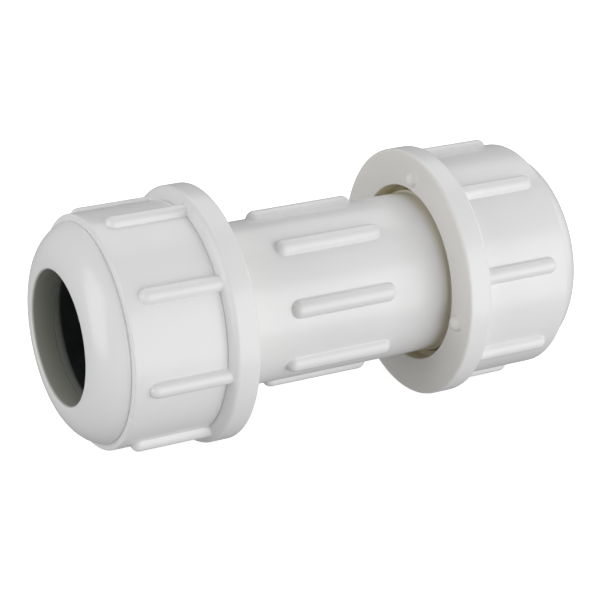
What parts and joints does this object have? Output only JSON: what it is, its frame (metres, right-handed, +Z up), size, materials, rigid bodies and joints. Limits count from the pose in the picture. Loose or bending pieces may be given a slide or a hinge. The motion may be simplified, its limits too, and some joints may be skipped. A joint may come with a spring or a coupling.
{
  "type": "pipe compression coupling",
  "caption": "White plastic compression coupling that joins two plain pipe ends: ribbed tubular body, flanged ribbed nuts with domed noses, black rubber gaskets.",
  "frame": {"origin": "middle of the body, on the pipe axis", "axes": "+X along the pipe axis towards the right nut, +Z up, -Y towards the viewer"},
  "size_m": [0.1118, 0.0532, 0.0532],
  "materials": {
    "white_pvc": "satin",
    "gasket_rubber": "matte",
    "washer_plastic": "matte"
  },
  "bodies": {
    "body": {"coupling_body": "white_pvc"},
    "left_seal": {"gasket_left": "gasket_rubber", "thrust_washer_left": "washer_plastic"},
    "left_nut": {"nut_left": "white_pvc"},
    "right_seal": {"gasket_right": "gasket_rubber", "thrust_washer_right": "washer_plastic"},
    "right_nut": {"nut_right": "white_pvc"}
  },
  "joints": [
    {"name": "left_nut_advance", "type": "slide", "parent": "body", "child": "left_seal", "axis": [-1, 0, 0], "range_m": [-0.0032, 0.0128]},
    {"name": "left_nut_turn", "type": "hinge", "parent": "left_seal", "child": "left_nut", "pos_m": [-0.04, 0, 0], "axis": [-1, 0, 0], "range_deg": [-360, 1440]},
    {"name": "right_nut_advance", "type": "slide", "parent": "body", "child": "right_seal", "axis": [1, 0, 0], "range_m": [-0.0032, 0.0128]},
    {"name": "right_nut_turn", "type": "hinge", "parent": "right_seal", "child": "right_nut", "pos_m": [0.04, 0, 0], "axis": [1, 0, 0], "range_deg": [-360, 1440]}
  ],
  "couplings": [
    {"joint": "left_nut_advance", "follows": "left_nut_turn", "m_per_rad": 0.00050929},
    {"joint": "right_nut_advance", "follows": "right_nut_turn", "m_per_rad": 0.00050929}
  ]
}
